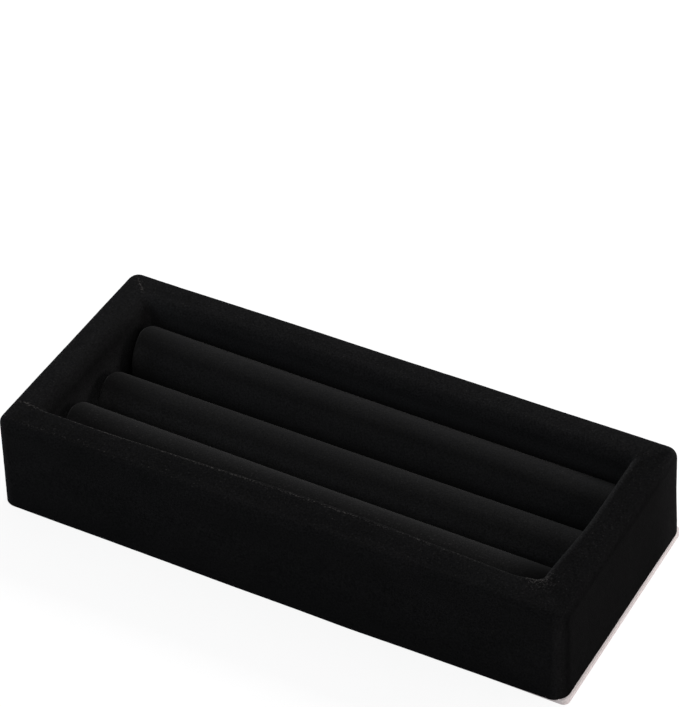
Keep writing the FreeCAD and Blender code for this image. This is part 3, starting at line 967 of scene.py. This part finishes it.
def set_positions(mesh, points):
    mesh.vertices.foreach_set("co", np.asarray(points, np.float32).ravel())
    mesh.update()


def start_swelling(piece, foot):
    """Gives a closed roll the cloth that pressure swells."""
    pins = piece.vertex_groups.new(name="pins")
    pins.add(foot_indices(piece, foot), 1.0, "REPLACE")
    set_positions(piece.data, positions(piece.data) * SWELL_SCALE)
    cloth = piece.modifiers.new("swell", "CLOTH")
    cloth.settings.vertex_group_mass = pins.name
    cloth.settings.use_pressure = True
    cloth.settings.uniform_pressure_force = SWELL_PRESSURE
    cloth.settings.tension_stiffness = SWELL_STIFFNESS
    cloth.settings.compression_stiffness = SWELL_STIFFNESS
    cloth.settings.shear_stiffness = SWELL_STIFFNESS
    cloth.settings.effector_weights.gravity = 0.0
    cloth.collision_settings.use_collision = False
    cloth.point_cache.frame_start = 1
    cloth.point_cache.frame_end = SWELL_FRAMES


def swollen_positions(piece):
    """The simulated points at their real size, none further from its start than the limit."""
    started = positions(piece.data) / SWELL_SCALE
    shown = piece.evaluated_get(bpy.context.evaluated_depsgraph_get())
    moved = positions(shown.data) / SWELL_SCALE - started
    reach = np.linalg.norm(moved, axis=1, keepdims=True)
    return started + moved * (SWELL_LIMIT / np.maximum(reach, SWELL_LIMIT))


def swell(pieces, foot):
    """Runs the cloth of all rolls together, then keeps the result as plain meshes."""
    scene = bpy.context.scene
    for piece in pieces:
        start_swelling(piece, foot)
    for number in range(1, SWELL_FRAMES + 1):
        scene.frame_set(number)
    results = [swollen_positions(piece) for piece in pieces]
    for piece, points in zip(pieces, results):
        piece.modifiers.clear()
        piece.vertex_groups.clear()
        set_positions(piece.data, points)
    scene.frame_set(1)


def apply_modifiers(piece):
    """Keeps the shape that the modifiers give as the mesh itself."""
    shown = piece.evaluated_get(bpy.context.evaluated_depsgraph_get())
    mesh = bpy.data.meshes.new_from_object(shown)
    piece.modifiers.clear()
    piece.data = mesh


def open_bottom(piece, foot):
    """Takes away the faces that lie on the card."""
    mesh = piece.data
    points = positions(mesh)
    above = points[:, 2] > foot + CARD_TOUCH
    keep = [tuple(face.vertices) for face in mesh.polygons if above[list(face.vertices)].any()]
    material = mesh.materials[0]
    mesh.clear_geometry()
    mesh.from_pydata([tuple(point) for point in points], [], keep)
    mesh.polygons.foreach_set("use_smooth", [True] * len(mesh.polygons))
    if not mesh.materials:
        mesh.materials.append(material)


def add_nap(piece, foot):
    """Roughens the cloth's surface a little."""
    mesh = piece.data
    points = positions(mesh)
    normals = np.empty(len(mesh.vertices) * 3, np.float32)
    mesh.vertices.foreach_get("normal", normals)
    heights = ROLL_NAP_HEIGHT * noise_field(points, NAP_SCALE)
    points += heights[:, None] * normals.reshape(-1, 3)
    points[:, 2] = np.maximum(points[:, 2], foot)
    set_positions(mesh, points)


def line_cover(piece, foot):
    """Makes the swollen cover a cloth of real thickness, open below."""
    open_bottom(piece, foot)
    piece.modifiers.new("smooth", "SUBSURF").levels = 1
    apply_modifiers(piece)
    add_nap(piece, foot)
    thickness = piece.modifiers.new("thickness", "SOLIDIFY")
    thickness.thickness = ROLL_SKIN
    thickness.offset = -1.0
    apply_modifiers(piece)
    points = positions(piece.data)
    points[:, 2] = np.maximum(points[:, 2], foot)
    set_positions(piece.data, points)


def below_crest(points, lean, half_length):
    """How far each point of a roll lies below its slanting crest."""
    return points[:, 2].max() - lean - lean * points[:, 0] / half_length - points[:, 2]


def painted_roll_shade(points, depth, roll):
    """Painted shade on a roll's pile: darker on the body and on the left end of the crest."""
    from_left = points[:, 0] - points[:, 0].min()
    crest = smooth_step(1.0 - depth / ROLL_BODY_DEPTH)
    crest_end = crest * smooth_step(1.0 - from_left / ROLL_PAINTED_SHADE_LENGTH)
    low_body = ROLL_BODY_PAINTED_SHADES[roll]
    return low_body + (1.0 - low_body) * crest - (1.0 - ROLL_CREST_END_PAINTED_SHADE) * crest_end


def painted_roll_light(points, depth, roll):
    """Painted light on a roll's front, down in the shaded slot and at its left end."""
    from_left = points[:, 0] - points[:, 0].min()
    foot = smooth_step((depth - ROLL_FOOT_FROM) / (ROLL_FOOT_TO - ROLL_FOOT_FROM))
    front = smooth_step(0.5 + (points[:, 1].mean() - points[:, 1]) / ROLL_FRONT_BLEND)
    end = smooth_step(1.0 - from_left / ROLL_PAINTED_LIGHT_LENGTH)
    return np.maximum(ROLL_SLOT_PAINTED_LIGHT[roll], ROLL_END_PAINTED_LIGHT * end) * foot * front


def set_roll_pile_and_painted_light(piece, roll, half_length):
    """Pale tips along the crest, painted light and shade on the pile, and painted shade at the right end
    where the rim shades it.
    """
    points = positions(piece.data)
    depth = below_crest(points, ROLL_LEANS[roll], half_length)
    fray_and_sheen = ROLL_FRAYS[roll] * smooth_step(1.0 - depth / ROLL_CREST_DEPTH)
    # Painted light and shade on the roll's pile
    painted_shading = painted_roll_shade(points, depth, roll) * (1.0 + painted_roll_light(points, depth, roll))
    # Painted shade at the front roll's right end, where the rim shades it
    right_end = smooth_step(1.0 - (points[:, 0].max() - points[:, 0]) / ROLL_RIGHT_LENGTH)
    shade = 1.0 - (1.0 - ROLL_RIGHT_PAINTED_SHADES[roll]) * right_end
    set_pile_and_painted_light(piece, fray_and_sheen * shade, painted_shading * shade)


def make_roll_covers():
    """The three velvet sleeves, swollen by their filling."""
    foot = CARD_HIGH.z
    covers = []
    for roll in ROLLS:
        low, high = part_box(f"roll_cover_{roll}")
        points = roll_points(roll, low, high, ROLL_START_INSET)
        material = make_velvet(f"velvet_roll_{roll}", ROLL_PILE, ROLL_SHEENS[roll], ROLL_SHEEN_ROUGHNESS)
        covers.append(make_roll(f"roll_sleeve_{roll}", points, material))
    swell(covers, foot)
    for roll, cover in zip(ROLLS, covers):
        line_cover(cover, foot)
        set_roll_pile_and_painted_light(cover, roll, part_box(f"roll_cover_{roll}")[1].x)
        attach(cover, "roll_insert")
        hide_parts(f"roll_cover_{roll}")


def make_foam_cores(material):
    """The foam bars inside the sleeves, with a cut surface."""
    for roll in ROLLS:
        low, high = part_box(f"foam_core_{roll}")
        points = roll_points(roll, low, high, ROLL_START_INSET + FOAM_GAP)
        core = make_roll(f"foam_bar_{roll}", points, material)
        points = positions(core.data)
        points[:, 2] -= FOAM_CUT_DEPTH * np.abs(noise_field(points, FOAM_CUT_SCALE))
        points[:, 2] = np.maximum(points[:, 2], CARD_HIGH.z)
        set_positions(core.data, points)
        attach(core, "roll_insert")
        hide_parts(f"foam_core_{roll}")


# Felt lining

def lining_plan(half_x, half_y):
    """The felt's grid of points in plan, with round corners."""
    across = np.linspace(-half_x, half_x, round(2.0 * half_x / LINING_STEP) + 1)
    along = np.linspace(-half_y, half_y, round(2.0 * half_y / LINING_STEP) + 1)
    return round_corners(np.stack(np.meshgrid(across, along, indexing="ij"), axis=-1))


def slab_faces(columns, rows):
    """Quads over two grids of points, one above the other, and round their border."""
    count = columns * rows
    top = grid_faces(columns, rows)
    under = [tuple(count + index for index in reversed(face)) for face in top]
    edge = border(columns, rows)
    pairs = zip(edge, edge[1:] + edge[:1])
    sides = [(second, first, count + first, count + second) for first, second in pairs]
    return top + under + sides


def make_lining(material):
    """A felt sheet laid on the base board, a little uneven."""
    half_x, half_y = LINING_HIGH.x, LINING_HIGH.y
    plan = lining_plan(half_x, half_y)
    flat = np.concatenate([plan, np.zeros((*plan.shape[:2], 1))], axis=2)
    top = flat.copy()
    top[..., 2] = LINING_HIGH.z + LINING_WAVE * (noise_field(flat, LINING_WAVE_SCALE) - 1.0)
    under = flat.copy()
    under[..., 2] = LINING_LOW.z
    points = np.concatenate([top.reshape(-1, 3), under.reshape(-1, 3)])
    piece = new_piece("floor_felt", points, slab_faces(*plan.shape[:2]), material)
    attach(piece, "tray")
    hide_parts("floor_lining")


def round_corners(plan):
    """Draws the outermost corner points in to the sheet's round corners."""
    plan = plan.copy()
    draw = LINING_CORNER * (1.0 - 1.0 / math.sqrt(2.0))
    for column in (0, -1):
        for row in (0, -1):
            plan[column, row] -= draw * np.sign(plan[column, row])
    return plan


def border(columns, rows):
    """The numbers of a grid's border points, in order round it."""
    first = [column * rows for column in range(columns)]
    second = [(columns - 1) * rows + row for row in range(1, rows)]
    third = [column * rows + rows - 1 for column in range(columns - 2, -1, -1)]
    fourth = list(range(rows - 2, 0, -1))
    return first + second + third + fourth


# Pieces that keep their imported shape

def dress(node, material):
    """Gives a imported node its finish."""
    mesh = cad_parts[node].data
    mesh.materials.clear()
    mesh.materials.append(material)


def dress_nodes():
    """The finishes of the board, the card, the brads and the rails."""
    dress("base_board", make_pale_board())
    dress("insert_card", make_black_card())
    dress("corner_brads", make_steel())
    long_grain = make_wood("wood_long", (WOOD_STRETCH, 1.0, 1.0))
    cross_grain = make_wood("wood_cross", (1.0, WOOD_STRETCH, 1.0))
    for rail in LONG_RAILS:
        dress(rail, long_grain)
    for rail in CROSS_RAILS:
        dress(rail, cross_grain)


# Stage

def make_camera():
    """The camera of the picture."""
    data = bpy.data.cameras.new("camera")
    data.lens = CAMERA_LENS
    data.sensor_width = SENSOR_WIDTH
    data.clip_start = CAMERA_NEAR
    camera = bpy.data.objects.new("camera", data)
    bpy.context.scene.collection.objects.link(camera)
    look = (CAMERA_TARGET - CAMERA_PLACE).to_track_quat("-Z", "Y").to_matrix().to_4x4()
    camera.matrix_world = Matrix.Translation(CAMERA_PLACE) @ look @ Matrix.Rotation(CAMERA_ROLL, 4, "Z")
    bpy.context.scene.camera = camera


def seen_directly(tree):
    """1 for rays from the camera, mirrors and glass, and 0 for those that light the object."""
    path = add_node(tree, "ShaderNodeLightPath")
    seen = math_node(tree, "MAXIMUM", path.outputs["Is Camera Ray"], path.outputs["Is Glossy Ray"])
    return math_node(tree, "MAXIMUM", seen, path.outputs["Is Transmission Ray"])


def make_floor():
    """A plain white floor: it keeps a faint shadow, and its glow is only seen, never cast."""
    corners = [(-1, -1), (1, -1), (1, 1), (-1, 1)]
    points = [(FLOOR_HALF * x, FLOOR_HALF * y, -FLOOR_DROP) for x, y in corners]
    material = bpy.data.materials.new("floor_white")
    material.use_nodes = True
    tree = material.node_tree
    tree.nodes.clear()
    diffuse = add_node(tree, "ShaderNodeBsdfDiffuse", {"Color": FLOOR_COLOUR})
    glow = add_node(tree, "ShaderNodeEmission", {"Strength": FLOOR_GLOW})
    both = add_node(tree, "ShaderNodeMixShader")
    share = math_node(tree, "MULTIPLY", seen_directly(tree), FLOOR_GLOW_SHARE)
    tree.links.new(share, both.inputs["Fac"])
    tree.links.new(diffuse.outputs["BSDF"], both.inputs[1])
    tree.links.new(glow.outputs["Emission"], both.inputs[2])
    output = add_node(tree, "ShaderNodeOutputMaterial")
    tree.links.new(both.outputs["Shader"], output.inputs["Surface"])
    floor = new_piece("floor", points, [(0, 1, 2, 3)], material)


def make_world():
    """Even light from all round. Seen directly, it is white."""
    world = bpy.data.worlds.new("studio")
    bpy.context.scene.world = world
    world.use_nodes = True
    tree = world.node_tree
    background = tree.nodes["Background"]
    background.inputs["Color"].default_value = (1.0, 1.0, 1.0, 1.0)
    lift = math_node(tree, "MULTIPLY", seen_directly(tree), 1.0 - WORLD_LIGHT)
    tree.links.new(math_node(tree, "ADD", lift, WORLD_LIGHT), background.inputs["Strength"])


def add_area_light(name, place, size, power, colour):
    """A soft square light that points at the tray."""
    data = bpy.data.lights.new(name, "AREA")
    data.size = size
    data.energy = power
    data.color = colour
    light = bpy.data.objects.new(name, data)
    bpy.context.scene.collection.objects.link(light)
    light.location = place
    light.rotation_euler = (-Vector(place)).to_track_quat("-Z", "Y").to_euler()


def main():
    bpy.context.scene.view_settings.view_transform = "Standard"
    make_camera()
    make_world()
    for light in LIGHTS:
        add_area_light(*light)
    make_floor()
    dress_nodes()
    make_velvet_wrap(make_velvet("velvet_frame", FRAME_PILE, FRAME_SHEEN, FRAME_SHEEN_ROUGHNESS))
    make_roll_covers()
    make_foam_cores(make_foam())
    make_lining(make_felt())


main()
